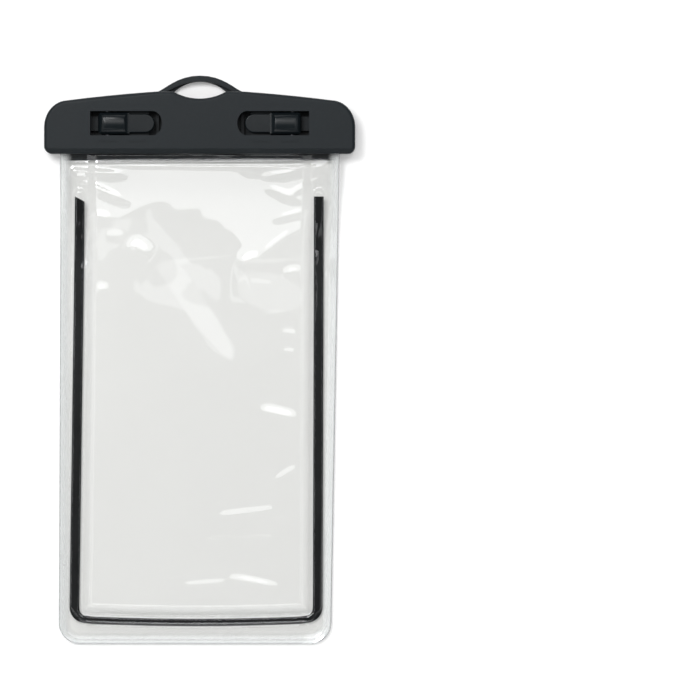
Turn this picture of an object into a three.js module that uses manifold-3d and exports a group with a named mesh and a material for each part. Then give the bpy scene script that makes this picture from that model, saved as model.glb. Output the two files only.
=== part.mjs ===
// A waterproof phone pouch: a clear film bag whose mouth is pinched shut by a moulded clamp in two halves,
// and two levers that lock the halves together. Millimetres.
// The pouch lies on its back. X runs across it, Y from the foot of the bag to the carry loop, and Z up from
// the table. While it is built, Y is 0 at the clamp's lower edge; the whole is then moved along Y so that
// its origin lies on the table, midway between its two ends.

import * as THREE from "three";
import { mergeVertices } from "three/addons/utils/BufferGeometryUtils.js";
import Module from "manifold-3d";

const wasm = await Module();
wasm.setup();

// Clearances
const seatGap = 0.3;
const leverSideGap = 0.35;

// Clamp, seen from the front
const clampWidth = 124;
const clampHeight = 24.7;
const clampCornerRadius = 3;
const shoulderWidth = 9.5;
const shoulderHeight = 10.7;
const shoulderSweep = THREE.MathUtils.degToRad(80);
const roofFall = 3.5;
const roofBelly = 0.45;
const scoopDepth = 2.8;

// Clamp, in depth
const backJawDepth = 5.25;
const jawWall = 1.6;
const backWall = 1.4;
const edgeRound = 1.4;
const lowerChamfer = 2;
const ribWall = 1.2;
const ribPitch = 8.5;
const ribDrop = 1;
const pegRadius = 1.5;
const pegEngagement = 3;
const pegInset = 4.2;
const sillReach = 2.6;
const sillInset = 0.4;
const sillEdge = 0.6;
const sillCorner = 1.2;

// Carry loop
const loopFootHalf = 17.4;
const loopRise = 6.6;
const loopBar = 2.4;
const loopDepth = 4.2;
const loopSetback = 0.5;
const loopEdge = 0.8;
const loopRoot = 5;
const loopWeb = 1.9;
const loopFlank = 0.79;
const loopFlankRise = 0.17;
const loopShoulder = 0.54;
const eyeHalf = 10.5;

// Lever windows in the front jaw
const windowOuterEnd = 43.6;
const windowLength = 28.6;
const windowHeight = 9.7;
const windowLift = 7.2;
const windowFrame = 2;
const fingerScoop = 3.8;
const hubGap = 3;
const tipGap = 3;
const tipRecess = 2.4;

// Arrows sunk into the face under each window, one for each way that a lever turns
const arrowLift = 4.6;
const arrowLength = 7.5;
const arrowHead = 2.4;
const arrowShaft = 0.7;
const arrowDepth = 0.25;
const arrowPlaces = [24.5, 36.5];

// Levers
const hubRadius = 3.7;
const leverSink = 0.2;
const humpLength = 12.6;
const humpCorner = 2.2;
const humpCrown = 2.5;
const humpToe = 3.2;
const tongueWidth = 7.6;
const tongueDrop = 1.5;
const tongueWall = 2;
const tongueClearance = 0.9;
const tongueEdge = 0.5;
const hookReach = 1.9;
const hookToeDrop = 0.2;
const hookFloorGap = 0.6;
const hookThroat = 2.4;
const hookWidth = 5;
const lipWall = 1;
const lipOverlap = 1;
const lipLead = 0.5;
const catchWall = 1.6;
const pinRadius = 0.9;
const pinSeat = 1.4;
const pinSnap = 0.88;
const pinSides = 16;

// Film bag
const bagDrop = 195.7;
const bagWidth = 108.8;
const bagFlare = 1.3;
const flareLength = 180;
const bagCornerRadius = 8.5;
const bagLean = 0.011;
const filmWall = 0.4;
const bagLift = 42;
const panelWidth = 83;
const panelLevel = 7.3;
const panelFootSlope = 5.6;
const panelMouthSlope = 4;

// Edge strip in its welded channel
const stripWidth = 3.9;
const stripWall = 0.9;
const stripSideInset = 4.25;
const stripFootInset = 8.3;
const stripTopDrop = 17.1;
const stripCornerRadius = 6.8;
const stripBow = 1.2;
const channelStep = 0.6;

// Sealing gaskets
const gasketWidth = 2.8;
const gasketWall = 0.9;
const gasketLip = 0.35;

// Sizes that follow from the ones above
const clampHalf = clampWidth / 2;
const hookRadius = hubRadius + hookReach;
const pivotLevel = backWall + hookFloorGap + hookRadius;
const clampDepth = pivotLevel + hubRadius + leverSink;
const frontJawBack = backJawDepth + seatGap;
const windowTop = windowLift + windowHeight;
const windowMiddle = windowLift + windowHeight / 2;
const windowInnerEnd = windowOuterEnd - windowLength;
const pivotX = windowOuterEnd - hubGap - hubRadius;
const leverWidth = windowHeight - 2 * leverSideGap;
const toeCorner = (leverWidth - tongueWidth) / 2;
const tongueTop = hubRadius - tongueDrop;
const tongueUnder = tongueTop - tongueWall;
const tongueReach = pivotX - windowInnerEnd - tipGap;
const pocketFloor = pivotLevel + tongueUnder - tongueClearance;
const wellInnerEnd = pivotX - hookRadius - seatGap;
const hookTop = hubRadius + hookToeDrop;
const filmEnd = windowLift - windowFrame - seatGap;
const bagHalf = bagWidth / 2;
const mouthHalf = bagHalf + bagFlare + seatGap;
const backSeat = backJawDepth - filmWall - seatGap;
const frontSeat = frontJawBack + filmWall + seatGap;
const gasketMiddle = filmEnd - seatGap - gasketWidth / 2;
const stripHalf = bagHalf - stripSideInset - stripWidth / 2;
const stripFoot = -bagDrop + stripFootInset;
const channelOuter = stripHalf + stripWidth / 2 + seatGap;
const channelInner = stripHalf - stripWidth / 2 - seatGap;
const totalLength = bagDrop + clampHeight + loopRise;

const arcSteps = 8;
const roundSides = 28;
const beyond = 1;
const weld = 1e-5;

// Solids and cuts
function solid(geometry) {
  const bare = geometry.clone();
  bare.deleteAttribute("normal");
  bare.deleteAttribute("uv");
  const merged = mergeVertices(bare, weld);
  return new wasm.Manifold(
    new wasm.Mesh({
      numProp: 3,
      vertProperties: new Float32Array(merged.attributes.position.array),
      triVerts: new Uint32Array(merged.index.array),
    })
  );
}

function skin(body) {
  const mesh = body.getMesh();
  const geometry = new THREE.BufferGeometry();
  geometry.setAttribute("position", new THREE.BufferAttribute(mesh.vertProperties, mesh.numProp));
  geometry.setIndex(new THREE.BufferAttribute(mesh.triVerts, 1));
  return geometry;
}

function block(x0, x1, y0, y1, z0, z1) {
  const geometry = new THREE.BoxGeometry(x1 - x0, y1 - y0, z1 - z0);
  geometry.translate((x0 + x1) / 2, (y0 + y1) / 2, (z0 + z1) / 2);
  return solid(geometry);
}

function sidedBlock(side, x0, x1, y0, y1, z0, z1) {
  const ends = [side * x0, side * x1].sort((a, b) => a - b);
  return block(ends[0], ends[1], y0, y1, z0, z1);
}

// A round bar along Y or, where it is upright, along Z
function bar(radius, length, sides = roundSides) {
  return new THREE.CylinderGeometry(radius, radius, length, sides);
}

function uprightBar(x, y, radius, z0, z1) {
  const geometry = bar(radius, z1 - z0);
  geometry.rotateX(Math.PI / 2);
  geometry.translate(x, y, (z0 + z1) / 2);
  return solid(geometry);
}

// The shape that a path draws, or its mirror image for the piece on the left
function sidedShape(path, side) {
  return new THREE.Shape(path.getPoints(arcSteps).map((p) => new THREE.Vector2(side * p.x, p.y)));
}

// The whole outline from its right half, drawn from the bottom of the middle line to the top of it
function symmetricShape(rightHalf) {
  const right = rightHalf.getPoints(arcSteps);
  const left = right.slice(1, -1).reverse();
  return new THREE.Shape([...right, ...left.map((p) => new THREE.Vector2(-p.x, p.y))]);
}

function raised(shape, z0, z1, round = 0) {
  const geometry = new THREE.ExtrudeGeometry(shape, {
    depth: z1 - z0 - 2 * round,
    curveSegments: arcSteps,
    bevelEnabled: round > 0,
    bevelThickness: round,
    bevelSize: round,
    bevelOffset: -round,
    bevelSegments: 3,
  });
  geometry.translate(0, 0, z0 + round);
  return solid(geometry);
}

// A side view in X and Z, made solid along Y about the piece's middle
function acrossY(shape, width) {
  const geometry = new THREE.ExtrudeGeometry(shape, { depth: width, bevelEnabled: false });
  geometry.rotateX(Math.PI / 2);
  geometry.translate(0, width / 2, 0);
  return solid(geometry);
}

// An end view in Y and Z, made solid along X
function alongX(shape, x0, x1) {
  const geometry = new THREE.ExtrudeGeometry(shape, { depth: x1 - x0, bevelEnabled: false });
  const axes = [new THREE.Vector3(0, 1, 0), new THREE.Vector3(0, 0, 1), new THREE.Vector3(1, 0, 0)];
  geometry.applyMatrix4(new THREE.Matrix4().makeBasis(...axes));
  geometry.translate(x0, 0, 0);
  return solid(geometry);
}

// Clamp outline: straight foot and sides, elliptic shoulders, a gently bellied roof and a scoop in its middle
function clampOutline(inset) {
  const half = clampHalf - inset;
  const corner = Math.max(clampCornerRadius - inset, edgeRound / 2);
  const shoulderX = clampHalf - shoulderWidth;
  const shoulderY = clampHeight - roofFall - shoulderHeight;
  const endX = shoulderX + (shoulderWidth - inset) * Math.cos(shoulderSweep);
  const roofY = clampHeight - inset;
  const path = new THREE.Path();
  path.moveTo(0, inset);
  path.lineTo(half - corner, inset);
  path.absarc(half - corner, inset + corner, corner, -Math.PI / 2, 0);
  path.absellipse(shoulderX, shoulderY, shoulderWidth - inset, shoulderHeight - inset, 0, shoulderSweep);
  path.quadraticCurveTo((endX + loopFootHalf) / 2, roofY - roofFall / 2 + roofBelly, loopFootHalf, roofY);
  path.lineTo(eyeHalf, roofY);
  const scoopRadius = (eyeHalf ** 2 + scoopDepth ** 2) / (2 * scoopDepth);
  const start = -Math.acos(eyeHalf / scoopRadius);
  path.absarc(0, roofY - scoopDepth + scoopRadius, scoopRadius, start, -Math.PI / 2, true);
  return symmetricShape(path);
}

// Ribs at an even pitch across the clamp, as thin upright walls
function ribs(z0, z1) {
  const count = Math.floor((clampHalf - jawWall) / ribPitch);
  let walls = block(-ribWall / 2, ribWall / 2, 0, clampHeight, z0, z1);
  for (let i = 1; i <= count; i += 1) {
    for (const side of [-1, 1]) {
      const x = side * i * ribPitch;
      walls = walls.add(block(x - ribWall / 2, x + ribWall / 2, 0, clampHeight, z0, z1));
    }
  }
  return walls;
}

const pegPlaces = [
  [0, windowMiddle],
  [-(clampHalf - pegInset), windowLift],
  [clampHalf - pegInset, windowLift],
];

const pegTop = frontJawBack + pegEngagement;

function cavity(z0, z1) {
  const room = block(-clampHalf, clampHalf, windowLift, clampHeight, z0, z1);
  return raised(clampOutline(jawWall), z0, z1).intersect(room);
}

// Window outline: square at the hub's end, with a half-round finger scoop at the tongue's end
function windowPath(grow) {
  const half = windowHeight / 2 + grow;
  const scoopX = windowInnerEnd + fingerScoop;
  const path = new THREE.Path();
  path.moveTo(windowOuterEnd + grow, windowMiddle - half);
  path.lineTo(windowOuterEnd + grow, windowMiddle + half);
  path.lineTo(scoopX, windowMiddle + half);
  path.absellipse(scoopX, windowMiddle, fingerScoop + grow, half, Math.PI / 2, 1.5 * Math.PI);
  return path;
}

function frontJaw() {
  const trimmed = 2 * edgeRound;
  let jaw = raised(clampOutline(0), frontJawBack - trimmed, clampDepth, edgeRound);
  jaw = jaw.subtract(block(-clampWidth, clampWidth, -beyond, clampHeight + beyond, -clampDepth, frontJawBack));

  const chamfer = new THREE.Shape([
    new THREE.Vector2(-beyond, clampDepth - lowerChamfer - beyond),
    new THREE.Vector2(lowerChamfer + beyond, clampDepth + beyond),
    new THREE.Vector2(-beyond, clampDepth + beyond),
  ]);
  jaw = jaw.subtract(alongX(chamfer, -clampWidth, clampWidth));

  // Hollow behind the face, with window frames, ribs and peg sockets left standing in it
  const hollowTop = clampDepth - jawWall;
  let standing = ribs(frontJawBack + ribDrop, clampDepth);
  for (const side of [-1, 1]) {
    standing = standing.add(raised(sidedShape(windowPath(windowFrame), side), frontJawBack, clampDepth));
  }
  for (const [x, y] of pegPlaces) {
    standing = standing.add(uprightBar(x, y, pegRadius + seatGap + jawWall, frontJawBack, clampDepth));
  }
  jaw = jaw.subtract(cavity(frontJawBack - beyond, hollowTop).subtract(standing));

  for (const side of [-1, 1]) {
    const opening = raised(sidedShape(windowPath(0), side), pocketFloor, clampDepth + beyond);
    const well = [wellInnerEnd, windowOuterEnd, windowLift, windowTop, frontJawBack - beyond, clampDepth];
    jaw = jaw.subtract(opening).subtract(sidedBlock(side, ...well));

    // Deep recess round the tongue's tip, for a fingertip
    const tipEnd = windowInnerEnd + tipGap + tipRecess;
    const recess = [windowInnerEnd - beyond, tipEnd, windowLift, windowTop, frontJawBack - beyond, clampDepth];
    const through = raised(sidedShape(windowPath(0), side), frontJawBack - beyond, clampDepth);
    jaw = jaw.subtract(through.intersect(sidedBlock(side, ...recess)));

    // Pin seat: a round bore with a slightly narrower slot that the pin snaps through from behind
    const reach = windowHeight + 2 * (pinSeat + seatGap);
    const bore = bar(pinRadius + seatGap, reach);
    bore.translate(side * pivotX, windowMiddle, pivotLevel);
    const slotHalf = pinRadius * pinSnap;
    const slot = [pivotX - slotHalf, pivotX + slotHalf, windowMiddle - reach / 2, windowMiddle + reach / 2];
    jaw = jaw.subtract(solid(bore)).subtract(sidedBlock(side, ...slot, frontJawBack - beyond, pivotLevel));
  }

  for (const [x, y] of pegPlaces) {
    jaw = jaw.subtract(uprightBar(x, y, pegRadius + seatGap, frontJawBack - beyond, pegTop + seatGap));
  }

  // Slot for the film, and the groove over it for the front gasket
  jaw = jaw.subtract(block(-mouthHalf, mouthHalf, -beyond, filmEnd + seatGap, frontJawBack - beyond, frontSeat));
  jaw = jaw.subtract(gasketGroove(frontSeat - beyond, frontSeat + gasketWall + seatGap));
  for (const side of [-1, 1]) {
    for (const [i, x] of arrowPlaces.entries()) {
      jaw = jaw.subtract(sunkArrow(side * x, i === 0 ? -side : side));
    }
  }
  return jaw;
}

// A plain arrow about x, pointing the way of its sign along X
function sunkArrow(x, way) {
  const tip = arrowLength / 2;
  const neck = tip - arrowHead / 2;
  const half = arrowShaft / 2;
  const path = new THREE.Path();
  path.moveTo(-tip, -half);
  path.lineTo(neck, -half);
  path.lineTo(neck, -arrowHead / 2);
  path.lineTo(tip, 0);
  path.lineTo(neck, arrowHead / 2);
  path.lineTo(neck, half);
  path.lineTo(-tip, half);
  const mark = raised(sidedShape(path, way), clampDepth - arrowDepth, clampDepth + beyond);
  return mark.translate([x, arrowLift, 0]);
}

function gasketGroove(z0, z1) {
  const half = gasketWidth / 2 + seatGap;
  return block(-mouthHalf, mouthHalf, gasketMiddle - half, gasketMiddle + half, z0, z1);
}

// The bell that the carry loop's bar follows, from its foot on the roof to its crown
function bellShape(foot, crown) {
  const path = new THREE.Path();
  path.moveTo(0, clampHeight - loopRoot);
  path.lineTo(foot, clampHeight - loopRoot);
  path.lineTo(foot, clampHeight);
  path.bezierCurveTo(
    loopFlank * foot, clampHeight + loopFlankRise * crown,
    loopShoulder * foot, clampHeight + crown,
    0, clampHeight + crown
  );
  return symmetricShape(path);
}

function carryLoop() {
  const top = loopSetback + loopDepth;
  const crown = loopRise - loopBar;
  const eyeRadius = (eyeHalf ** 2 + crown ** 2) / (2 * crown);
  const scoopRadius = (eyeHalf ** 2 + scoopDepth ** 2) / (2 * scoopDepth);
  const eyeStart = Math.acos(eyeHalf / eyeRadius);
  const scoopStart = Math.acos(eyeHalf / scoopRadius);
  const eyePath = new THREE.Path();
  eyePath.absarc(0, clampHeight + crown - eyeRadius, eyeRadius, eyeStart, Math.PI - eyeStart);
  eyePath.absarc(0, clampHeight - scoopDepth + scoopRadius, scoopRadius, Math.PI + scoopStart, -scoopStart);
  const eye = sidedShape(eyePath, 1);
  const inner = bellShape(loopFootHalf - loopBar - loopEdge, crown);
  const loop = raised(bellShape(loopFootHalf, loopRise), loopSetback, top, loopEdge);
  const recess = raised(inner, loopSetback + loopWeb, top + beyond);
  return loop.subtract(recess).subtract(raised(eye, -beyond, top + beyond));
}

// The catch under each hub: a post with a lip that the lever's hook draws up against
function leverCatch(side) {
  const lipUnder = pivotLevel - hookTop + seatGap;
  const lipTip = Math.sqrt(hookRadius ** 2 - hookTop ** 2) - lipOverlap;
  const postX = hookRadius + seatGap / 2;
  const outer = Math.min(postX + catchWall, windowOuterEnd - pivotX);
  const path = new THREE.Path();
  path.moveTo(pivotX + outer, backWall - seatGap);
  path.lineTo(pivotX + outer, lipUnder + lipWall);
  path.lineTo(pivotX + lipTip + lipLead, lipUnder + lipWall);
  path.lineTo(pivotX + lipTip, lipUnder);
  path.lineTo(pivotX + outer - catchWall, lipUnder);
  path.lineTo(pivotX + outer - catchWall, backWall - seatGap);
  return acrossY(sidedShape(path, side), hookWidth + 2 * leverSideGap).translate([0, windowMiddle, 0]);
}

// The sill below the mouth, which carries the bag's back where it leaves the clamp
function sill() {
  const half = bagHalf + bagFlare - sillInset;
  const path = new THREE.Path();
  path.moveTo(0, -sillReach);
  path.absarc(half - sillCorner, sillCorner - sillReach, sillCorner, -Math.PI / 2, 0);
  path.lineTo(half, edgeRound);
  path.lineTo(0, edgeRound);
  return raised(symmetricShape(path), edgeRound, backSeat, sillEdge);
}

function backJaw() {
  const sheath = 2 * edgeRound;
  let jaw = raised(clampOutline(0), 0, backJawDepth + sheath, edgeRound);
  const above = backJawDepth + sheath + beyond;
  jaw = jaw.subtract(block(-clampWidth, clampWidth, -beyond, clampHeight + beyond, backJawDepth, above));

  // Hollow with ribs, clear of the wells where the hooks swing
  let standing = ribs(0, backJawDepth - ribDrop);
  for (const side of [-1, 1]) {
    const well = [wellInnerEnd, windowOuterEnd + seatGap, windowLift, windowTop, backWall, above];
    standing = standing.subtract(sidedBlock(side, ...well));
  }
  jaw = jaw.subtract(cavity(backWall, above).subtract(standing));

  for (const [x, y] of pegPlaces) {
    jaw = jaw.add(uprightBar(x, y, pegRadius, backWall - seatGap, pegTop));
  }
  for (const side of [-1, 1]) {
    jaw = jaw.add(leverCatch(side));
  }
  jaw = jaw.add(carryLoop()).add(sill());

  jaw = jaw.subtract(block(-mouthHalf, mouthHalf, -beyond, filmEnd + seatGap, backSeat, above));
  return jaw.subtract(gasketGroove(backSeat - gasketWall - seatGap, above));
}

// A lever about its own pivot: the hub and its domed hump, the flat tongue and the hook under the hub
function lever(side) {
  const humpInner = humpLength - hubRadius;
  const profile = new THREE.Path();
  profile.moveTo(0, hubRadius);
  const toeMiddle = humpToe / 2 - humpInner;
  profile.lineTo(humpToe - humpInner, hubRadius);
  profile.bezierCurveTo(toeMiddle, hubRadius, toeMiddle, tongueTop, -humpInner, tongueTop);
  profile.lineTo(-humpInner, tongueUnder);
  profile.lineTo(0, tongueUnder);
  let body = solid(bar(hubRadius, leverWidth)).add(acrossY(sidedShape(profile, side), leverWidth));

  // Crowned across its width, and rounded at its corners in plan
  const crownBase = hubRadius - humpCrown;
  const section = new THREE.Shape();
  section.moveTo(-leverWidth / 2, -hubRadius - beyond);
  section.lineTo(leverWidth / 2, -hubRadius - beyond);
  section.absellipse(0, crownBase, leverWidth / 2, humpCrown, 0, Math.PI);
  body = body.intersect(alongX(new THREE.Shape(section.getPoints(arcSteps)), -humpLength, humpLength));
  const plan = new THREE.Path();
  const halfWidth = leverWidth / 2;
  plan.absarc(hubRadius - humpCorner, halfWidth - humpCorner, humpCorner, 0, Math.PI / 2);
  plan.absarc(toeCorner - humpInner, halfWidth - toeCorner, toeCorner, Math.PI / 2, Math.PI);
  plan.absarc(toeCorner - humpInner, toeCorner - halfWidth, toeCorner, Math.PI, 1.5 * Math.PI);
  plan.absarc(hubRadius - humpCorner, humpCorner - halfWidth, humpCorner, 1.5 * Math.PI, 2 * Math.PI);
  body = body.intersect(raised(sidedShape(plan, side), -hubRadius - beyond, hubRadius + beyond));

  const tongue = new THREE.Path();
  const tipRadius = tongueWidth / 2;
  tongue.moveTo(0, -tipRadius);
  tongue.lineTo(0, tipRadius);
  tongue.absarc(tipRadius - tongueReach, 0, tipRadius, Math.PI / 2, 1.5 * Math.PI);
  body = body.add(raised(sidedShape(tongue, side), tongueUnder, tongueTop, tongueEdge));

  const toeX = Math.sqrt(hookRadius ** 2 - hookTop ** 2);
  const hook = new THREE.Path();
  hook.moveTo(hookThroat, -hookTop);
  hook.lineTo(hookThroat, -hubRadius / 2);
  hook.lineTo(-hookThroat / 2, -hubRadius / 2);
  const heel = Math.atan2(-hookRadius, -hookThroat / 2);
  hook.absarc(0, 0, hookRadius, heel, Math.atan2(-hookTop, toeX));
  body = body.add(acrossY(sidedShape(hook, side), hookWidth));
  return body.subtract(solid(bar(pinRadius + seatGap, leverWidth + beyond)));
}

// How high the flat rim of the bag lies: on the table, then rising to the clamp's mouth
function rimLevel(y) {
  return (backSeat + seatGap) * THREE.MathUtils.smoothstep(y, -bagLift, 0);
}

function ramp(value, low, high) {
  return THREE.MathUtils.clamp((value - low) / (high - low), 0, 1);
}

// The underside of the front film: a flat rim, a channel over the edge strip and a raised panel for the phone
function frontFilmLevel(x, y) {
  const across = Math.abs(x);
  const footChannel = -bagDrop + stripFootInset - stripBow - seatGap;
  const rim = rimLevel(y) + filmWall + seatGap;
  const inChannel = Math.min(
    ramp(across, channelOuter + channelStep, channelOuter),
    ramp(y, footChannel - channelStep, footChannel),
    ramp(y, 0, -stripTopDrop / 2)
  );
  const channel = rim + inChannel * (stripWall + seatGap);
  const panelFoot = stripFoot + stripWidth + seatGap;
  const inPanel = Math.min(
    ramp(across, channelInner, panelWidth / 2),
    ramp(y, panelFoot, panelFoot + panelFootSlope),
    ramp(y, 0, -panelMouthSlope)
  );
  return channel + inPanel * (panelLevel - channel);
}

// Bag outline: rounded corners at the foot, and sides that flare a little towards the mouth
function bagOutline() {
  const path = new THREE.Path();
  path.moveTo(0, -bagDrop);
  path.lineTo(bagHalf - bagCornerRadius, -bagDrop);
  path.absarc(bagHalf - bagCornerRadius, bagCornerRadius - bagDrop, bagCornerRadius, -Math.PI / 2, 0);
  path.lineTo(bagHalf, -flareLength);
  path.lineTo(bagHalf + bagFlare, 0);
  path.lineTo(bagHalf + bagFlare, filmEnd);
  path.lineTo(0, filmEnd);
  return symmetricShape(path);
}

// A film as a thin sheet over a grid of columns and rows, cut to the bag's outline
function film(columns, rows, level) {
  const geometry = new THREE.BoxGeometry(1, 1, 1, columns.length - 1, rows.length - 1, 1);
  const place = geometry.attributes.position;
  for (let i = 0; i < place.count; i += 1) {
    const x = columns[Math.round((place.getX(i) + 0.5) * (columns.length - 1))];
    const y = rows[Math.round((place.getY(i) + 0.5) * (rows.length - 1))];
    place.setXYZ(i, x, y, level(x, y) + (place.getZ(i) > 0 ? filmWall : 0));
  }
  return solid(geometry).intersect(raised(bagOutline(), -beyond, clampDepth));
}

function leaned(geometry) {
  return geometry.applyMatrix4(new THREE.Matrix4().makeShear(0, 0, bagLean, 0, 0, 0));
}

// Rows across the stretch that rises, closer together near the mouth
const riseShares = [0.84, 0.68, 0.52, 0.36, 0.2, 0.1];
const liftRows = riseShares.map((share) => -bagLift * share);
const mouthRows = [0, filmEnd + beyond];

function backFilm() {
  const edge = mouthHalf + beyond;
  const rows = [-bagDrop - beyond, -bagDrop / 2, -bagLift, ...liftRows, ...mouthRows];
  return film([-edge, 0, edge], rows, (x, y) => rimLevel(y));
}

function frontFilm() {
  const right = [panelWidth / 2, channelInner, channelOuter, channelOuter + channelStep, mouthHalf + beyond];
  const columns = [...right.map((x) => -x).reverse(), 0, ...right];
  const footChannel = -bagDrop + stripFootInset - stripBow - seatGap;
  const panelFoot = stripFoot + stripWidth + seatGap;
  const footRows = [footChannel - channelStep, footChannel, panelFoot, panelFoot + panelFootSlope];
  const lowerRows = [-bagDrop - beyond, ...footRows, -bagDrop / 2, -bagLift, ...liftRows];
  const upperRows = [-stripTopDrop / 2, -panelMouthSlope, ...mouthRows];
  const rows = [...lowerRows, ...upperRows].sort((a, b) => a - b);
  return film(columns, rows, frontFilmLevel);
}

// The edge strip: a flat band bent into a U, with its foot bowed a little
function edgeStrip() {
  const radius = stripCornerRadius - stripWidth / 2;
  const foot = stripFoot + stripWidth / 2;
  const path = new THREE.Path();
  path.moveTo(0, foot - stripBow);
  path.quadraticCurveTo((stripHalf - radius) / 2, foot - stripBow, stripHalf - radius, foot);
  path.absarc(stripHalf - radius, foot + radius, radius, -Math.PI / 2, 0);
  for (const y of [-bagLift, ...liftRows.filter((row) => row < -stripTopDrop), -stripTopDrop]) {
    path.lineTo(stripHalf, y);
  }
  const right = path.getPoints(arcSteps);
  const left = right.slice(1).reverse().map((p) => new THREE.Vector2(-p.x, p.y));
  return band([...left, ...right]);
}

// A flat band along a line of points, lying on the film and rising with it
function band(points) {
  const last = points.length - 1;
  const geometry = new THREE.BoxGeometry(1, 1, 1, last, 1, 1);
  const place = geometry.attributes.position;
  for (let i = 0; i < place.count; i += 1) {
    const k = Math.round((place.getX(i) + 0.5) * last);
    const along = points[Math.min(k + 1, last)].clone().sub(points[Math.max(k - 1, 0)]).normalize();
    const aside = place.getY(i) * stripWidth;
    const x = points[k].x - along.y * aside;
    const y = points[k].y + along.x * aside;
    place.setXYZ(i, x, y, rimLevel(y) + filmWall + seatGap + (place.getZ(i) > 0 ? stripWall : 0));
  }
  return solid(geometry);
}

// A gasket: a flat base with a lip along its middle, which bears on the film
function gasket(facing) {
  const half = gasketWidth / 2;
  const base = gasketWall - gasketLip;
  const section = new THREE.Shape([
    new THREE.Vector2(-half, 0),
    new THREE.Vector2(half, 0),
    new THREE.Vector2(half, facing * base),
    new THREE.Vector2(half / 2, facing * gasketWall),
    new THREE.Vector2(-half / 2, facing * gasketWall),
    new THREE.Vector2(-half, facing * base),
  ]);
  return alongX(section, seatGap - mouthHalf, mouthHalf - seatGap);
}

// Finishes
const charcoal = { color: 0x32363a, roughness: 0.55, metalness: 0 };
const charcoalGloss = { color: 0x2b2f32, roughness: 0.38, metalness: 0 };
const clearFilm = { color: 0xeef1f1, roughness: 0.12, metalness: 0, transparent: true, opacity: 0.3 };
const blackBand = { color: 0x151719, roughness: 0.3, metalness: 0 };
const steel = { color: 0xb9bcc0, roughness: 0.3, metalness: 1 };
const softSeal = { color: 0xc9cccd, roughness: 0.6, metalness: 0 };

function piece(name, body, finish) {
  const geometry = body.isBufferGeometry ? body : skin(body);
  geometry.computeVertexNormals();
  const mesh = new THREE.Mesh(geometry, new THREE.MeshStandardMaterial(finish));
  mesh.name = name;
  return mesh;
}

// Assembly
const pouch = new THREE.Group();
pouch.position.y = bagDrop - totalLength / 2;

pouch.add(piece("back_jaw", backJaw(), charcoal));
pouch.add(piece("front_jaw", frontJaw(), charcoal));

for (const [label, side] of [["left", -1], ["right", 1]]) {
  const pivot = new THREE.Group();
  pivot.position.set(side * pivotX, windowMiddle, pivotLevel);
  pivot.add(piece(`lever_${label}`, lever(side), charcoalGloss));
  pivot.add(piece(`pivot_pin_${label}`, bar(pinRadius, windowHeight + 2 * pinSeat, pinSides), steel));
  pouch.add(pivot);
}

const backGasket = piece("back_gasket", gasket(1), softSeal);
backGasket.position.set(0, gasketMiddle, backSeat - gasketWall);
const frontGasket = piece("front_gasket", gasket(-1), softSeal);
frontGasket.position.set(0, gasketMiddle, frontSeat + gasketWall);
pouch.add(backGasket, frontGasket);

pouch.add(piece("back_film", leaned(skin(backFilm())), clearFilm));
pouch.add(piece("front_film", leaned(skin(frontFilm())), clearFilm));
pouch.add(piece("edge_strip", leaned(skin(edgeStrip())), blackBand));

export default pouch;
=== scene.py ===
import math

import bpy
import numpy as np
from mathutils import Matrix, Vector


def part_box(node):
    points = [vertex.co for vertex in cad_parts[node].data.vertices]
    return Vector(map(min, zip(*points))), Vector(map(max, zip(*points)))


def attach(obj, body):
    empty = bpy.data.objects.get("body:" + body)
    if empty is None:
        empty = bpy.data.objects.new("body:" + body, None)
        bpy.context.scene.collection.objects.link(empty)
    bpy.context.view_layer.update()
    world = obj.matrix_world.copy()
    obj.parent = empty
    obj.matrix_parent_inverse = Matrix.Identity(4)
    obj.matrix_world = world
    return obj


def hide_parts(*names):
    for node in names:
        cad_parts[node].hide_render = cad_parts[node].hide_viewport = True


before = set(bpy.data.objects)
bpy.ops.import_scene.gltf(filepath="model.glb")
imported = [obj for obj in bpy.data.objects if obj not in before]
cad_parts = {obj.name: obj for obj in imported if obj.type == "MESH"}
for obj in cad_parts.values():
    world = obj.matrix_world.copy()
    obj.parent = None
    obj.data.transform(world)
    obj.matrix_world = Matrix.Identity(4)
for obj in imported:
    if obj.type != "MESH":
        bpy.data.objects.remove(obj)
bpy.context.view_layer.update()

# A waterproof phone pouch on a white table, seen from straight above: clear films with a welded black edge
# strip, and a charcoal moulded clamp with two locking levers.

MM = 0.001

# Places read from the frame
MOUTH_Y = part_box("front_jaw")[0].y
FOOT_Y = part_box("front_film")[0].y
FILM_END_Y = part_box("front_film")[1].y
MOUTH_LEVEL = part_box("back_film")[1].z
STRIP_TOP_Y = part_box("edge_strip")[1].y

# Film bag
FILM_WALL = 0.4 * MM
SEAT_GAP = 0.3 * MM
BAG_HALF = 54.4 * MM
BAG_FLARE = 1.3 * MM
FLARE_LENGTH = 180 * MM
BAG_CORNER = 8.5 * MM
BAG_LEAN = 0.011
BAG_LIFT = 42 * MM
FOOT_BAND = 21 * MM
MOUTH_BAND = 8 * MM
PANEL_HALF = 41.2 * MM
PANEL_LEVEL = 6.9 * MM
SHOULDER_ROUND = 0.22
CURL_LENGTH = 0.5 * MM
MOUTH_TILT = 0.045
MOUTH_TILT_LENGTH = 3 * MM
RESTING_GAP = 0.05 * MM
EDGE_LIFT = 0.5 * MM
EDGE_LIFT_RIGHT = 1.1 * MM
EDGE_LIFT_WIDTH = 6.0 * MM
EDGE_LIFT_CHANGE = 14 * MM
SEAM_INSET = 2.0 * MM
SEAM_WIDTH = 0.45 * MM
SEAM_HEIGHT = 0.07 * MM
CREASES_FROM_EDGE = (3 * MM, 6 * MM)
CREASES_FROM_MOUTH = (1 * MM, 4 * MM)

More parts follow.
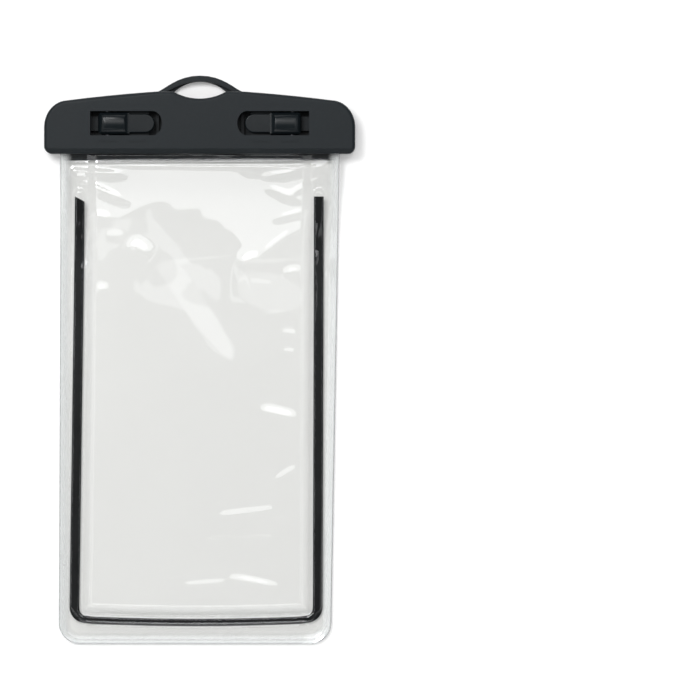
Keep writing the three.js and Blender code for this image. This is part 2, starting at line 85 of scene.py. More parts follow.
# Edge strip and its channel
STRIP_WIDTH = 3.9 * MM
STRIP_WALL = 0.9 * MM
STRIP_HALF = 48.2 * MM
STRIP_CORNER = 4.85 * MM
STRIP_SPREAD = 0.95 * MM
STRIP_DRIFT = 0.45 * MM
STRIP_CENTRED_AT = 0.2
STRIP_BOW = 1.2 * MM
STRIP_FOOT_Y = FOOT_Y + 9.7 * MM
STRIP_FOOT_SHARE = 0.74
CHANNEL_HALF = 2.3 * MM
CHANNEL_RISE = 1.35 * MM
CHANNEL_TIP = 0.6 * MM
CHANNEL_BLUFF = 8
CHANNEL_FOOT_DROP = 0.7
CHANNEL_NARROWS = (7 * MM, 1 * MM)
STRIP_SLANT = 2.0 * MM
STRIP_DOME = 0.15 * MM

# Camera and studio
VIEW_CENTRE = (59.9 * MM, 3.9 * MM)
VIEW_WIDTH = 280 * MM
CAMERA_HEIGHT = 2.6
TABLE_SIZE = 8.0
TABLE_WHITE = 0.82
TABLE_LIFT = 0.16
ROOM_LIGHT = 0.10
CEILING = 1.3
CARD_BRIGHTNESS = 0.55


# Materials
def new_group(name, inputs, outputs):
    group = bpy.data.node_groups.new(name, "ShaderNodeTree")
    for label, kind, value in inputs:
        socket = group.interface.new_socket(label, in_out="INPUT", socket_type=kind)
        socket.default_value = value
    for label, kind in outputs:
        group.interface.new_socket(label, in_out="OUTPUT", socket_type=kind)
    return group, group.nodes.new("NodeGroupInput"), group.nodes.new("NodeGroupOutput")


def link(tree, source, target):
    tree.links.new(source, target)


def math_node(tree, operation, first, second):
    node = tree.nodes.new("ShaderNodeMath")
    node.operation = operation
    for socket, value in zip(node.inputs, (first, second)):
        if isinstance(value, (int, float)):
            socket.default_value = value
        else:
            link(tree, value, socket)
    return node.outputs[0]


def noise_node(tree, place, scale, detail, roughness=0.5):
    node = tree.nodes.new("ShaderNodeTexNoise")
    link(tree, place, node.inputs["Vector"])
    node.inputs["Scale"].default_value = scale
    node.inputs["Detail"].default_value = detail
    node.inputs["Roughness"].default_value = roughness
    return node


def spread(tree, value, low, high):
    """The middle range of a noise stretched over low to high, each of them a number or a socket."""
    node = tree.nodes.new("ShaderNodeMapRange")
    link(tree, value, node.inputs["Value"])
    node.inputs["From Min"].default_value = 0.3
    node.inputs["From Max"].default_value = 0.7
    for label, end in (("To Min", low), ("To Max", high)):
        if isinstance(end, (int, float)):
            node.inputs[label].default_value = end
        else:
            link(tree, end, node.inputs[label])
    return node.outputs["Result"]


def mixed_colour(tree, factor, first, second):
    node = tree.nodes.new("ShaderNodeMix")
    node.data_type = "RGBA"
    sockets = {s.identifier: s for s in node.inputs}
    link(tree, factor, sockets["Factor_Float"])
    for label, value in (("A_Color", first), ("B_Color", second)):
        if isinstance(value, tuple):
            sockets[label].default_value = value
        else:
            link(tree, value, sockets[label])
    return next(s for s in node.outputs if s.identifier == "Result_Color")


def moulded_grain_group():
    """Fine spark-eroded grain with a slow change of shade and of shine, for moulded and pressed pieces."""
    group, given, made = new_group(
        "moulded grain",
        [
            ("Colour", "NodeSocketColor", (0.03, 0.03, 0.03, 1)),
            ("Worn Colour", "NodeSocketColor", (0.05, 0.05, 0.05, 1)),
            ("Grain Scale", "NodeSocketFloat", 2500.0),
            ("Low Roughness", "NodeSocketFloat", 0.4),
            ("High Roughness", "NodeSocketFloat", 0.6),
        ],
        [("Colour", "NodeSocketColor"), ("Roughness", "NodeSocketFloat"), ("Grain", "NodeSocketFloat")],
    )
    place = group.nodes.new("ShaderNodeTexCoord").outputs["Object"]
    slow = noise_node(group, place, 45.0, 3.0)
    fine = noise_node(group, place, 900.0, 2.0)
    grain = noise_node(group, place, 2500.0, 2.0)
    link(group, given.outputs["Grain Scale"], grain.inputs["Scale"])
    shade = math_node(group, "MULTIPLY", spread(group, slow.outputs["Fac"], 0.0, 1.0), 0.6)
    speck = math_node(group, "MULTIPLY", spread(group, fine.outputs["Fac"], 0.0, 1.0), 0.4)
    wear = math_node(group, "ADD", shade, speck)
    colour = mixed_colour(group, wear, given.outputs["Colour"], given.outputs["Worn Colour"])
    smooth, rough = given.outputs["Low Roughness"], given.outputs["High Roughness"]
    roughness = spread(group, slow.outputs["Fac"], smooth, rough)
    link(group, colour, made.inputs["Colour"])
    link(group, roughness, made.inputs["Roughness"])
    link(group, grain.outputs["Fac"], made.inputs["Grain"])
    return group


def blank_material(name):
    material = bpy.data.materials.new(name)
    material.use_nodes = True
    tree = material.node_tree
    tree.nodes.clear()
    return material, tree, tree.nodes.new("ShaderNodeOutputMaterial")


def grained_material(name, colours, roughness, grain, gloss=0.5, metallic=0.0):
    """Opaque grained stuff: its two colours, range of roughness, and its grain's scale and height."""
    material, tree, out = blank_material(name)
    grain_scale, grain_height = grain
    surface = tree.nodes.new("ShaderNodeBsdfPrincipled")
    finish = tree.nodes.new("ShaderNodeGroup")
    finish.node_tree = GRAIN
    finish.inputs["Colour"].default_value = (*colours[0], 1)
    finish.inputs["Worn Colour"].default_value = (*colours[1], 1)
    finish.inputs["Grain Scale"].default_value = grain_scale
    finish.inputs["Low Roughness"].default_value = roughness[0]
    finish.inputs["High Roughness"].default_value = roughness[1]
    bump = tree.nodes.new("ShaderNodeBump")
    bump.inputs["Strength"].default_value = 0.35
    bump.inputs["Distance"].default_value = grain_height
    surface.inputs["Metallic"].default_value = metallic
    surface.inputs["Specular IOR Level"].default_value = gloss
    link(tree, finish.outputs["Colour"], surface.inputs["Base Color"])
    link(tree, finish.outputs["Roughness"], surface.inputs["Roughness"])
    link(tree, finish.outputs["Grain"], bump.inputs["Height"])
    link(tree, bump.outputs["Normal"], surface.inputs["Normal"])
    link(tree, surface.outputs["BSDF"], out.inputs["Surface"])
    return material


FILM_MIRROR = 0.036
FILM_CLEAR = (0.9866, 0.9873, 0.9838, 1)
CUT_EDGE = (0.62, 0.66, 0.67, 1)
WELD_WIDTH = 5.0 * MM
WELD_MILK = 0.32
MILK_WHITE = (0.88, 0.90, 0.90, 1)
# Painted shade: the grey and the width of a dark line painted along the bag's outer edge
EDGE_SHADE_GREY = (0.34, 0.36, 0.37, 1)
EDGE_SHADE_WIDTH = 0.5 * MM


def film_material(name, clear):
    """Clear soft film: the table shows through it, and it mirrors the lamps, more so at a slant."""
    material, tree, out = blank_material(name)
    place = tree.nodes.new("ShaderNodeTexCoord")
    cloud = noise_node(tree, place.outputs["Object"], 30.0, 3.0)
    dull = tuple(0.995 * c for c in clear[:3]) + (1,)
    tone = mixed_colour(tree, cloud.outputs["Fac"], clear, dull)

    # The weld round the bag is faintly milky, most of all near its outer edge. At the edge itself the milk
    # is painted grey: a painted shade line for the darkness along the film's edge
    edge = tree.nodes.new("ShaderNodeSeparateXYZ")
    link(tree, place.outputs["UV"], edge.inputs["Vector"])
    weld = tree.nodes.new("ShaderNodeMapRange")
    weld.interpolation_type = "SMOOTHSTEP"
    link(tree, edge.outputs["X"], weld.inputs["Value"])
    weld.inputs["From Max"].default_value = WELD_WIDTH
    weld.inputs["To Min"].default_value = WELD_MILK
    weld.inputs["To Max"].default_value = 0.0
    clear_part = tree.nodes.new("ShaderNodeBsdfTransparent")
    link(tree, tone, clear_part.inputs["Color"])
    milky_part = tree.nodes.new("ShaderNodeBsdfDiffuse")
    # Painted shade: near the bag's edge the milk's colour turns grey, a painted dark line along the edge
    rim = tree.nodes.new("ShaderNodeMapRange")
    link(tree, edge.outputs["X"], rim.inputs["Value"])
    rim.inputs["From Max"].default_value = EDGE_SHADE_WIDTH
    link(tree, mixed_colour(tree, rim.outputs["Result"], EDGE_SHADE_GREY, MILK_WHITE), milky_part.inputs["Color"])
    through = tree.nodes.new("ShaderNodeMixShader")
    link(tree, weld.outputs["Result"], through.inputs["Fac"])
    link(tree, clear_part.outputs["BSDF"], through.inputs[1])
    link(tree, milky_part.outputs["BSDF"], through.inputs[2])

    gloss = tree.nodes.new("ShaderNodeBsdfPrincipled")
    gloss.inputs["Metallic"].default_value = 1.0
    gloss.inputs["Base Color"].default_value = (0.97, 0.98, 1.0, 1)
    link(tree, spread(tree, cloud.outputs["Fac"], 0.010, 0.018), gloss.inputs["Roughness"])

    # Schlick's rule, alike on both faces of the film
    slant = tree.nodes.new("ShaderNodeLayerWeight")
    slant.inputs["Blend"].default_value = 0.5
    rise = math_node(tree, "POWER", slant.outputs["Facing"], 5.0)
    mirror = math_node(tree, "ADD", math_node(tree, "MULTIPLY", rise, 1.0 - FILM_MIRROR), FILM_MIRROR)
    coated = tree.nodes.new("ShaderNodeMixShader")
    link(tree, mirror, coated.inputs["Fac"])
    link(tree, through.outputs["Shader"], coated.inputs[1])
    link(tree, gloss.outputs["BSDF"], coated.inputs[2])
    link(tree, coated.outputs["Shader"], out.inputs["Surface"])
    return material


# Studio
def seen_directly(tree):
    """1 for rays from the camera, and for mirrored and refracted ones, so that gloss shows a white table."""
    path = tree.nodes.new("ShaderNodeLightPath")
    total = math_node(tree, "ADD", path.outputs["Is Camera Ray"], path.outputs["Is Glossy Ray"])
    total = math_node(tree, "ADD", total, path.outputs["Is Transmission Ray"])
    return math_node(tree, "MINIMUM", total, 1.0)


def make_table():
    bpy.ops.mesh.primitive_plane_add(size=TABLE_SIZE, location=(VIEW_CENTRE[0], VIEW_CENTRE[1], 0))
    table = bpy.context.object
    table.name = "table"
    material, tree, out = blank_material("white table")
    matt = tree.nodes.new("ShaderNodeBsdfDiffuse")
    place = tree.nodes.new("ShaderNodeTexCoord").outputs["Object"]
    tone = noise_node(tree, place, 3.0, 2.0)
    pale = (TABLE_WHITE, TABLE_WHITE, TABLE_WHITE, 1)
    paler = (TABLE_WHITE + 0.02, TABLE_WHITE + 0.02, TABLE_WHITE + 0.02, 1)
    link(tree, mixed_colour(tree, tone.outputs["Fac"], pale, paler), matt.inputs["Color"])
    glow = tree.nodes.new("ShaderNodeEmission")
    link(tree, math_node(tree, "MULTIPLY", seen_directly(tree), TABLE_LIFT), glow.inputs["Strength"])
    both = tree.nodes.new("ShaderNodeAddShader")
    link(tree, matt.outputs["BSDF"], both.inputs[0])
    link(tree, glow.outputs["Emission"], both.inputs[1])
    link(tree, both.outputs["Shader"], out.inputs["Surface"])
    table.data.materials.append(material)


def make_world():
    """A dim room: white where the camera looks past the table, and dark in mirrors, as a studio is."""
    world = bpy.data.worlds.new("studio")
    bpy.context.scene.world = world
    world.use_nodes = True
    tree = world.node_tree
    tree.nodes.clear()
    out = tree.nodes.new("ShaderNodeOutputWorld")
    sky = tree.nodes.new("ShaderNodeBackground")
    seen = tree.nodes.new("ShaderNodeLightPath").outputs["Is Camera Ray"]
    extra = math_node(tree, "MULTIPLY", seen, 1.0 - ROOM_LIGHT)
    link(tree, math_node(tree, "ADD", extra, ROOM_LIGHT), sky.inputs["Strength"])
    link(tree, sky.outputs["Background"], out.inputs["Surface"])


def light_panel(name, place, aim, width, length, brightness, turn=0.0, shape="RECTANGLE"):
    """A panel of light facing its aim, whose power follows from its size and brightness."""
    data = bpy.data.lights.new(name, "AREA")
    data.shape = shape
    data.size = width
    data.size_y = length
    data.energy = 4.0 * brightness * width * length
    lamp = bpy.data.objects.new(name, data)
    bpy.context.collection.objects.link(lamp)
    lamp.location = place
    lamp.rotation_euler = (Vector(aim) - Vector(place)).to_track_quat("-Z", "Y").to_euler()
    lamp.rotation_euler.z += math.radians(turn)


def ceiling_panel(name, left, right, near, far, brightness, height=CEILING):
    middle = ((left + right) / 2, (near + far) / 2)
    light_panel(name, (*middle, height), (*middle, 0.0), right - left, far - near, brightness)


def dim_card(name, seen_at, width, length, turn):
    """A dim oval card, hung where level film at a place in millimetres mirrors it to the camera."""
    reach = CEILING / CAMERA_HEIGHT
    x, y = (at * MM * (1.0 + reach) - centre * reach for at, centre in zip(seen_at, VIEW_CENTRE))
    width, length = (size * MM * (1.0 + reach) for size in (width, length))
    light_panel(name, (x, y, CEILING), (x, y, 0), width, length, CARD_BRIGHTNESS, turn, "ELLIPSE")


def make_lamps():
    """Panels and walls round a dark gap above the bag: level film mirrors the far panel and the cards."""
    ceiling_panel("far panel", -1.0, 1.0, 0.08, 0.28, 1.6)
    ceiling_panel("bright bank", -0.7, 0.5, 0.28, 0.7, 3.4)
    ceiling_panel("left panel", -1.3, -0.4, -0.8, 0.06, 0.9)
    ceiling_panel("right panel", 0.4, 1.2, -0.8, 0.06, 0.6)
    ceiling_panel("near panel", -0.2, 0.15, -2.2, -0.9, 2.6)
    ceiling_panel("key softbox", -0.62, -0.22, 0.28, 0.68, 12.0, 1.2)
    light_panel("far wall", (0, 1.6, 0.7), (0, 0, 0.1), 2.0, 0.9, 2.2)
    light_panel("near wall", (0, -1.6, 0.7), (0, 0, 0.1), 2.0, 0.9, 1.3)
    dim_card("streak card", (-5, 26), 62, 9, -55)
    dim_card("left card", (-35, 47), 14, 12, -12)
    dim_card("right card", (28, 27), 27, 15, -14)


def make_camera():
    data = bpy.data.cameras.new("camera")
    camera = bpy.data.objects.new("camera", data)
    bpy.context.collection.objects.link(camera)
    camera.location = (VIEW_CENTRE[0], VIEW_CENTRE[1], CAMERA_HEIGHT)
    data.sensor_width = 36
    data.lens = data.sensor_width * CAMERA_HEIGHT / VIEW_WIDTH
    data.clip_start = 0.01
    data.clip_end = 100
    bpy.context.scene.camera = camera


# Pieces made from the clamp's own solids, with their edges rounded
def deselect():
    bpy.ops.object.select_all(action="DESELECT")


def select_only(piece):
    deselect()
    piece.select_set(True)
    bpy.context.view_layer.objects.active = piece


def apply_modifiers(piece):
    select_only(piece)
    for modifier in list(piece.modifiers):
        bpy.ops.object.modifier_apply(modifier=modifier.name)


def rounded_copy(node, name, radius, material):
    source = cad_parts[node]
    piece = bpy.data.objects.new(name, source.data.copy())
    bpy.context.collection.objects.link(piece)
    select_only(piece)
    bpy.ops.object.mode_set(mode="EDIT")
    bpy.ops.mesh.select_all(action="SELECT")
    bpy.ops.mesh.remove_doubles(threshold=0.002 * MM)
    bpy.ops.mesh.dissolve_limited(angle_limit=math.radians(0.5))
    bpy.ops.object.mode_set(mode="OBJECT")
    bevel = piece.modifiers.new("edges", "BEVEL")
    bevel.width = radius
    bevel.segments = 2
    bevel.limit_method = "ANGLE"
    bevel.angle_limit = math.radians(40)
    bevel.use_clamp_overlap = True
    apply_modifiers(piece)
    bpy.ops.object.shade_smooth_by_angle(angle=math.radians(38))
    piece.modifiers.new("flat faces", "WEIGHTED_NORMAL").keep_sharp = True
    apply_modifiers(piece)
    piece.data.materials.clear()
    piece.data.materials.append(material)
    return piece


def make_clamp():
    pieces = (
        ("front_jaw", "clamp_front_shell", 0.22 * MM, MOULDED, "pouch", "clamp"),
        ("back_jaw", "clamp_back_shell", 0.22 * MM, MOULDED, "pouch", "clamp"),
        ("lever_left", "locking_lever_left", 0.15 * MM, LEVER_PLASTIC, "left_lever", "lever"),
        ("lever_right", "locking_lever_right", 0.15 * MM, LEVER_PLASTIC, "right_lever", "lever"),
    )
    for node, name, radius, material, body, slot in pieces:
        piece = rounded_copy(node, name, radius, material)
        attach(piece, body)
        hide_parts(node)


# Films
def ease(value, low, high):
    share = np.clip((value - low) / (high - low), 0.0, 1.0)
    return share * share * (3.0 - 2.0 * share)


def mouth_tilt(y):
    """How much the films still rise by y in their last few millimetres before the clamp."""
    return MOUTH_TILT * np.clip(y - MOUTH_Y + MOUTH_TILT_LENGTH, 0.0, MOUTH_TILT_LENGTH)


def rim_level(y):
    """Underside of the bag's flat rim, which rises from the table into the clamp's mouth."""
    rise = MOUTH_LEVEL - FILM_WALL - RESTING_GAP
    return RESTING_GAP + rise * ease(y, MOUTH_Y - BAG_LIFT, MOUTH_Y) + mouth_tilt(y)


def flare_at(y):
    return BAG_FLARE * np.clip((y - MOUTH_Y + FLARE_LENGTH) / FLARE_LENGTH, 0.0, 1.0)


def bag_half_at(y):
    """Half the bag's width at y, with its rounded corners at the foot and its flare at the mouth."""
    short = np.clip(BAG_CORNER - (y - FOOT_Y), 0.0, BAG_CORNER)
    return BAG_HALF + flare_at(y) - BAG_CORNER + np.sqrt(BAG_CORNER ** 2 - short ** 2)


def outside_u(x, y, half, foot, corner):
    """Distance outside a U with rounded corners, given its half width and its foot; negative inside it."""
    over_x = np.abs(x) - (half - corner)
    over_y = (foot + corner) - y
    round_part = np.hypot(np.maximum(over_x, 0.0), np.maximum(over_y, 0.0))
    return round_part + np.minimum(np.maximum(over_x, over_y), 0.0) - corner


def edge_distance(x, y):
    return np.maximum(-outside_u(x, y, BAG_HALF + flare_at(y), FOOT_Y, BAG_CORNER), 0.0)


def strip_half_at(y):
    """Half the spacing of the strip's arms, which spread a little from the mouth to the foot."""
    share = np.clip((STRIP_TOP_Y - y) / (STRIP_TOP_Y - STRIP_FOOT_Y), 0.0, 1.0)
    return STRIP_HALF + STRIP_SPREAD * (share - 0.5)


def strip_drift_at(y):
    """How far the strip sits to the right of the bag's middle, which it crosses near its top."""
    share = np.clip((STRIP_TOP_Y - y) / (STRIP_TOP_Y - STRIP_FOOT_Y), 0.0, 1.0)
    return STRIP_DRIFT * (share - STRIP_CENTRED_AT)


def strip_foot_at(x):
    return STRIP_FOOT_Y - STRIP_BOW * np.clip(1.0 - (x / STRIP_HALF) ** 2, 0.0, 1.0)


def strip_distance(x, y):
    """Distance from the strip's middle line, which is a U with a bowed foot; negative inside it."""
    from_middle = x - strip_drift_at(y)
    return outside_u(from_middle, y, strip_half_at(y), strip_foot_at(from_middle), STRIP_CORNER)


def lifted_edge(x, y):
    """How far the free edge of the bag curls up from the table."""
    lift = EDGE_LIFT + (EDGE_LIFT_RIGHT - EDGE_LIFT) * ease(x, BAG_HALF - EDGE_LIFT_CHANGE, BAG_HALF)
    below_clamp = 1.0 - ease(y, MOUTH_Y - BAG_LIFT, MOUTH_Y - BAG_LIFT / 3)
    return lift * below_clamp * np.clip(1.0 - edge_distance(x, y) / EDGE_LIFT_WIDTH, 0.0, 1.0) ** 2


def slope_share(value):
    """0 to 1 along a slope that is straight but for its rounded foot and shoulder."""
    share = np.clip(value, 0.0, 1.0)
    bend = SHOULDER_ROUND
    foot = share ** 2 / (2 * bend)
    top = (1.0 - bend) - (1.0 - share) ** 2 / (2 * bend)
    middle = share - bend / 2
    return np.where(share < bend, foot, np.where(share > 1.0 - bend, top, middle)) / (1.0 - bend)


def crease(x, y, place, length, width, turn, height):
    """A ridge about its middle, with its half length, half width, turn from X in degrees, and height."""
    cos, sin = math.cos(math.radians(turn)), math.sin(math.radians(turn))
    along = ((x - place[0] * MM) * cos + (y - place[1] * MM) * sin) / (length * MM)
    across = ((y - place[1] * MM) * cos - (x - place[0] * MM) * sin) / (width * MM)
    return height * MM * np.exp(-(along ** 4) - across ** 2)


# Middle in X and Y, half length, half width, turn in degrees and height, all but the turn in millimetres
CREASES = (
    (-38.5, 57.0, 3.0, 1.7, -15, 0.48),
    (-33.5, 49.5, 2.0, 1.0, 0, 0.14),
    (-23.5, 44.0, 3.6, 2.2, -38, 0.56),
    (-38.5, 28.0, 1.6, 1.5, 20, 0.34),
    (20.5, 40.0, 3.2, 2.0, 25, 0.50),
    (31.0, 46.5, 8.0, 1.6, 38, 0.30),
    (37.5, 35.0, 2.6, 1.1, 10, 0.26),
    (36.5, 10.5, 2.2, 0.8, -10, 0.20),
    (36.5, 3.0, 1.9, 0.8, -15, 0.18),
    (32.5, -22.0, 6.6, 2.0, -14, 0.56),
    (35.5, -46.0, 4.6, 1.3, 34, 0.33),
    (20.0, -61.5, 12.0, 1.7, 7, 0.33),
    (33.0, -64.0, 6.0, 1.2, 12, 0.15),
    (17.0, -72.0, 19.0, 1.5, 2, 0.17),
    (-5.0, 79.0, 50.0, 0.6, 0.4, 0.30),
    (8.0, 77.0, 46.0, 0.7, -0.5, 0.30),
    (4.0, -90.0, 11.0, 1.8, 4, 0.30),
    (24.0, -89.5, 10.0, 2.2, -11, 0.58),
    (25.0, -84.5, 12.0, 1.3, -14, 0.16),
    (-29.5, -75.0, 6.0, 1.8, 0, 0.12),
    (-46.0, 75.0, 13.0, 1.5, -3, 0.85),
    (-40.0, 68.0, 9.0, 1.2, -24, 0.65),
    (-44.0, 60.0, 3.0, 1.1, 60, 0.45),
    (-45.0, 50.0, 2.6, 1.1, 65, 0.45),
    (-44.0, 44.5, 2.4, 1.0, 40, 0.40),
    (-44.5, 37.5, 2.6, 1.2, 70, 0.45),
    (-49.0, 54.0, 3.4, 1.2, 70, 0.35),
    (34.0, 66.0, 7.0, 1.3, -22, 0.30),
    (41.0, 76.0, 12.0, 1.5, 12, 0.50),
    (42.0, 69.0, 8.0, 1.2, 28, 0.35),
    (37.0, 58.0, 6.0, 1.1, 15, 0.22),
    (47.5, 52.0, 4.0, 1.2, 75, 0.35),
    (46.5, 40.0, 3.0, 1.0, 80, 0.30),
)

# The fine unevenness of the film, and the stretch of the bag where its front is slack
UNEVEN = 0.0025 * MM
SLACK_MIDDLE = 52 * MM
SLACK_STARTS = (20 * MM, 34 * MM)
SLACK_ENDS = (70 * MM, 80 * MM)

# Where the mirrored edge of the far panel crosses the film, from left to right, and where it would cross
# level film, in millimetres
LEVEL_EDGE = 54.7
ARCH = (
    (-42.0, 53.5),
    (-36.0, 55.8),
    (-30.0, 58.4),
    (-24.0, 61.6),
    (-19.0, 62.8),
    (-13.0, 62.0),
    (-7.0, 60.6),
    (-1.0, 59.4),
    (4.0, 56.8),
    (9.0, 53.2),
    (13.0, 52.4),
    (14.5, 49.0),
    (17.5, 44.5),
    (20.5, 39.6),
    (24.0, 41.5),
    (29.0, 44.5),
    (34.0, 48.5),
    (38.0, 52.0),
    (42.0, 56.0),
)


def slack(x, y):
    """The broad slackness of the film, which bends the mirrored edge of the far panel into an arch."""
    across, up = zip(*ARCH)
    mirrored_edge = (np.interp(x / MM, across, up) - LEVEL_EDGE) * MM
    tilt = mirrored_edge * (1.0 + CEILING / CAMERA_HEIGHT) / (2.0 * CEILING)
    span = ease(y, *SLACK_STARTS) * (1.0 - ease(y, *SLACK_ENDS))
    uneven = UNEVEN * np.sin(x / (2.9 * MM) + 2.2 * np.sin(y / (6.1 * MM))) * np.sin(y / (3.7 * MM))
    return tilt * (y - SLACK_MIDDLE) * span + uneven


def wrinkles(x, y):
    total = np.zeros_like(x)
    for across, up, length, width, turn, height in CREASES:
        total += crease(x, y, (across, up), length, width, turn, height)
    return total


def front_film_surface(x, y):
    """Top of the front film: a flat rim with a seam, a channel over the strip, and the raised panel."""
    rim = rim_level(y) + 2 * FILM_WALL + SEAT_GAP
    below_mouth = MOUTH_Y - y
    curl = np.sqrt(1.0 - (1.0 - np.clip(below_mouth / CURL_LENGTH, 0.0, 1.0)) ** 2)
    off_strip = strip_distance(x, y)
    panel = slope_share((-off_strip - CHANNEL_HALF) / (STRIP_HALF - PANEL_HALF - CHANNEL_HALF))
    raised = panel * (PANEL_LEVEL - rim + mouth_tilt(y))
    off_tip = np.hypot(off_strip, np.maximum(y - STRIP_TOP_Y - CHANNEL_TIP, 0.0))
    at_foot = ease(-y, -STRIP_FOOT_Y - CHANNEL_NARROWS[0], -STRIP_FOOT_Y - CHANNEL_NARROWS[1])
    half = CHANNEL_HALF * (1.0 - (1.0 - STRIP_FOOT_SHARE) * at_foot)
    channel = CHANNEL_RISE * np.sqrt(np.clip(1.0 - (off_tip / half) ** CHANNEL_BLUFF, 0.0, 1.0))
    outer_share = np.clip(off_strip / half, 0.0, 1.0) * at_foot
    channel *= 1.0 - CHANNEL_FOOT_DROP * outer_share ** 1.5
    edge = edge_distance(x, y)
    seam = SEAM_HEIGHT * np.exp(-(((edge - SEAM_INSET) / SEAM_WIDTH) ** 2))
    free = ease(edge, *CREASES_FROM_EDGE) * ease(below_mouth, *CREASES_FROM_MOUTH)
    relief = slack(x, y) * panel + wrinkles(x, y)
    return rim + curl * np.maximum(raised, 0.0) + channel + seam + relief * free + lifted_edge(x, y)


def back_film_surface(x, y):
    return rim_level(y) + FILM_WALL + lifted_edge(x, y)


def even_steps(*stops):
    """Places from the first stop to the last, with the given number of even steps between each two."""
    places = [stops[0]]
    for steps, end in zip(stops[1::2], stops[2::2]):
        start = places[-1]
        places.extend(start + (end - start) * (i + 1) / steps for i in range(steps))
    return np.array(places)


def film_rows(corner_steps, foot_steps, body_steps, mouth_steps):
    """Places along the bag for the film's rows, closest at its round corners, its foot and its mouth."""
    turn = np.linspace(0.0, math.pi / 2, corner_steps + 1)
    corner = FOOT_Y + BAG_CORNER * (1.0 - np.cos(turn))
    foot_end, mouth_start = FOOT_Y + FOOT_BAND, MOUTH_Y - MOUTH_BAND
    body = even_steps(corner[-1], foot_steps, foot_end, body_steps, mouth_start, mouth_steps, FILM_END_Y)
    return np.concatenate([corner[:-1], body])


def shaped_grid(name, across, up, shape):
    """A grid whose points shape() places from their column and row numbers, with their two UV values."""
    bpy.ops.mesh.primitive_grid_add(x_subdivisions=across, y_subdivisions=up, size=2, calc_uvs=True)
    piece = bpy.context.object
    piece.name = name
    mesh = piece.data
    flat = np.empty(len(mesh.vertices) * 3)
    mesh.vertices.foreach_get("co", flat)
    flat = flat.reshape(-1, 3)
    column = np.rint((flat[:, 0] + 1.0) / 2.0 * across).astype(int)
    row = np.rint((flat[:, 1] + 1.0) / 2.0 * up).astype(int)
    place, chart = shape(column, row)
    mesh.vertices.foreach_set("co", place.reshape(-1))
    corner = np.empty(len(mesh.loops), dtype=int)
    mesh.loops.foreach_get("vertex_index", corner)
    mesh.uv_layers.active.data.foreach_set("uv", chart[corner].reshape(-1))
    mesh.update()
    return piece


def film_sheet(name, columns, rows, surface):
    """A sheet cut to the bag's outline, shaped by surface(x, y), leaned as the bag lies, with its wall."""

    def shape(column, row):
        y = rows[row]
        x = columns[column] * bag_half_at(y)
        place = np.stack([x + BAG_LEAN * (y - MOUTH_Y), y, surface(x, y)], axis=1)
        return place, np.stack([edge_distance(x, y), y - FOOT_Y], axis=1)

    piece = shaped_grid(name, len(columns) - 1, len(rows) - 1, shape)
    piece.data.materials.append(FILM)
    piece.data.materials.append(FILM_CUT)
    wall = piece.modifiers.new("wall", "SOLIDIFY")
    wall.thickness = FILM_WALL
    wall.offset = -1
    wall.material_offset_rim = 1
    apply_modifiers(piece)
    bpy.ops.object.shade_smooth()
    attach(piece, "pouch")
    return piece


def make_films():
    fine = even_steps(-1.0, 30, -0.72, 80, 0.72, 30, 1.0)
    front = film_sheet("front_sheet", fine, film_rows(18, 38, 176, 36), front_film_surface)
    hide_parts("front_film")
    coarse = even_steps(-1.0, 12, -0.9, 36, 0.9, 12, 1.0)
    back = film_sheet("back_sheet", coarse, film_rows(12, 12, 82, 8), back_film_surface)
    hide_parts("back_film")


def strip_line():
    """Points of the strip's middle line, from the top of its left arm round to the top of its right arm."""
    arm = even_steps(STRIP_TOP_Y, 60, STRIP_FOOT_Y + STRIP_CORNER)
    turn = np.linspace(0.0, math.pi / 2, 9)[1:]
    inner = STRIP_HALF - STRIP_CORNER
    corner_x = inner + STRIP_CORNER * np.cos(turn)
    corner_y = STRIP_FOOT_Y + STRIP_CORNER * (1.0 - np.sin(turn))
    foot_x = np.linspace(-inner, 0.0, 20)[1:]
    left_x = np.concatenate([np.full(len(arm), -STRIP_HALF), -corner_x, foot_x])
    left_y = np.concatenate([arm, corner_y, strip_foot_at(foot_x)])
    return np.concatenate([left_x, -left_x[-2::-1]]), np.concatenate([left_y, left_y[-2::-1]])


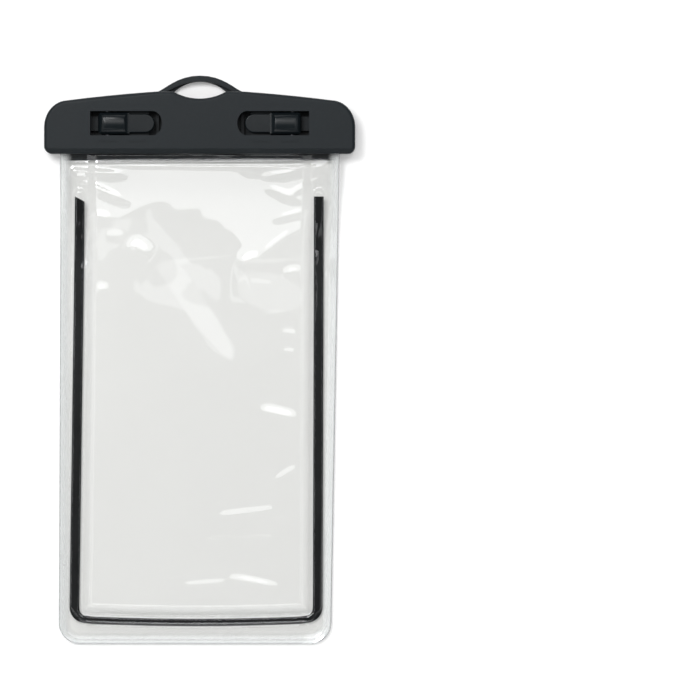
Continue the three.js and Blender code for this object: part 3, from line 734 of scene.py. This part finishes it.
def make_strip():
    """The black strip: a slightly domed band with a slanting cut at the top of its left arm."""
    line_x, line_y = strip_line()
    steps = 8

    def shape(column, row):
        share = 0.5 - column / steps
        heading = np.arctan2(np.gradient(line_y), np.gradient(line_x))[row]
        centre_y = line_y[row]
        spread_out = np.sign(line_x[row]) * (strip_half_at(centre_y) - STRIP_HALF) * ease(
            abs(line_x[row]), STRIP_HALF - 4 * STRIP_CORNER, STRIP_HALF - STRIP_CORNER
        )
        width = STRIP_WIDTH * (1.0 - (1.0 - STRIP_FOOT_SHARE) * np.cos(heading) ** 2)
        x = line_x[row] - np.sin(heading) * share * width + spread_out + strip_drift_at(centre_y)
        y = centre_y + np.cos(heading) * share * width
        y = np.where(row == 0, y - STRIP_SLANT * (share + 0.5), y)
        top = rim_level(y) + FILM_WALL + SEAT_GAP + STRIP_WALL - STRIP_DOME * (2.0 * share) ** 4
        place = np.stack([x + BAG_LEAN * (y - MOUTH_Y), y, top], axis=1)
        return place, np.stack([share, centre_y], axis=1)

    piece = shaped_grid("black_strip", steps, len(line_x) - 1, shape)
    piece.data.materials.append(STRIP_BLACK)
    wall = piece.modifiers.new("wall", "SOLIDIFY")
    wall.thickness = STRIP_WALL
    wall.offset = -1
    apply_modifiers(piece)
    bpy.ops.object.shade_smooth_by_angle(angle=math.radians(40))
    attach(piece, "pouch")
    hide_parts("edge_strip")


# Pieces that keep the solids of the frame
def dress(node, material):
    """Gives a finish to a solid of the frame."""
    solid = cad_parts[node]
    solid.data.materials.clear()
    solid.data.materials.append(material)


GRAIN = moulded_grain_group()
MOULDED = grained_material(
    "charcoal moulded plastic",
    colours=((0.009, 0.0122, 0.0146), (0.0115, 0.015, 0.0175)),
    roughness=(0.38, 0.46),
    grain=(2600.0, 0.03 * MM),
    gloss=0.13,
)
LEVER_PLASTIC = grained_material(
    "charcoal lever plastic",
    colours=((0.0055, 0.0078, 0.0095), (0.0075, 0.0105, 0.0125)),
    roughness=(0.22, 0.28),
    grain=(3000.0, 0.02 * MM),
    gloss=0.16,
)
STRIP_BLACK = grained_material(
    "black edge strip",
    colours=((0.004, 0.0045, 0.005), (0.008, 0.0085, 0.0095)),
    roughness=(0.25, 0.40),
    grain=(1500.0, 0.03 * MM),
    gloss=0.12,
)
STEEL = grained_material(
    "blackened steel",
    colours=((0.10, 0.10, 0.11), (0.07, 0.07, 0.08)),
    roughness=(0.28, 0.40),
    grain=(4000.0, 0.01 * MM),
    metallic=1.0,
)
SEALING_RUBBER = grained_material(
    "sealing rubber",
    colours=((0.60, 0.62, 0.62), (0.52, 0.54, 0.55)),
    roughness=(0.55, 0.70),
    grain=(1800.0, 0.03 * MM),
)
FILM = film_material("clear film", FILM_CLEAR)
FILM_CUT = film_material("cut film edge", CUT_EDGE)

make_camera()
make_world()
make_table()
make_lamps()
make_clamp()
make_films()
make_strip()
dress("pivot_pin_left", STEEL)
dress("pivot_pin_right", STEEL)
dress("front_gasket", SEALING_RUBBER)
dress("back_gasket", SEALING_RUBBER)

bpy.context.scene.view_settings.view_transform = "Standard"
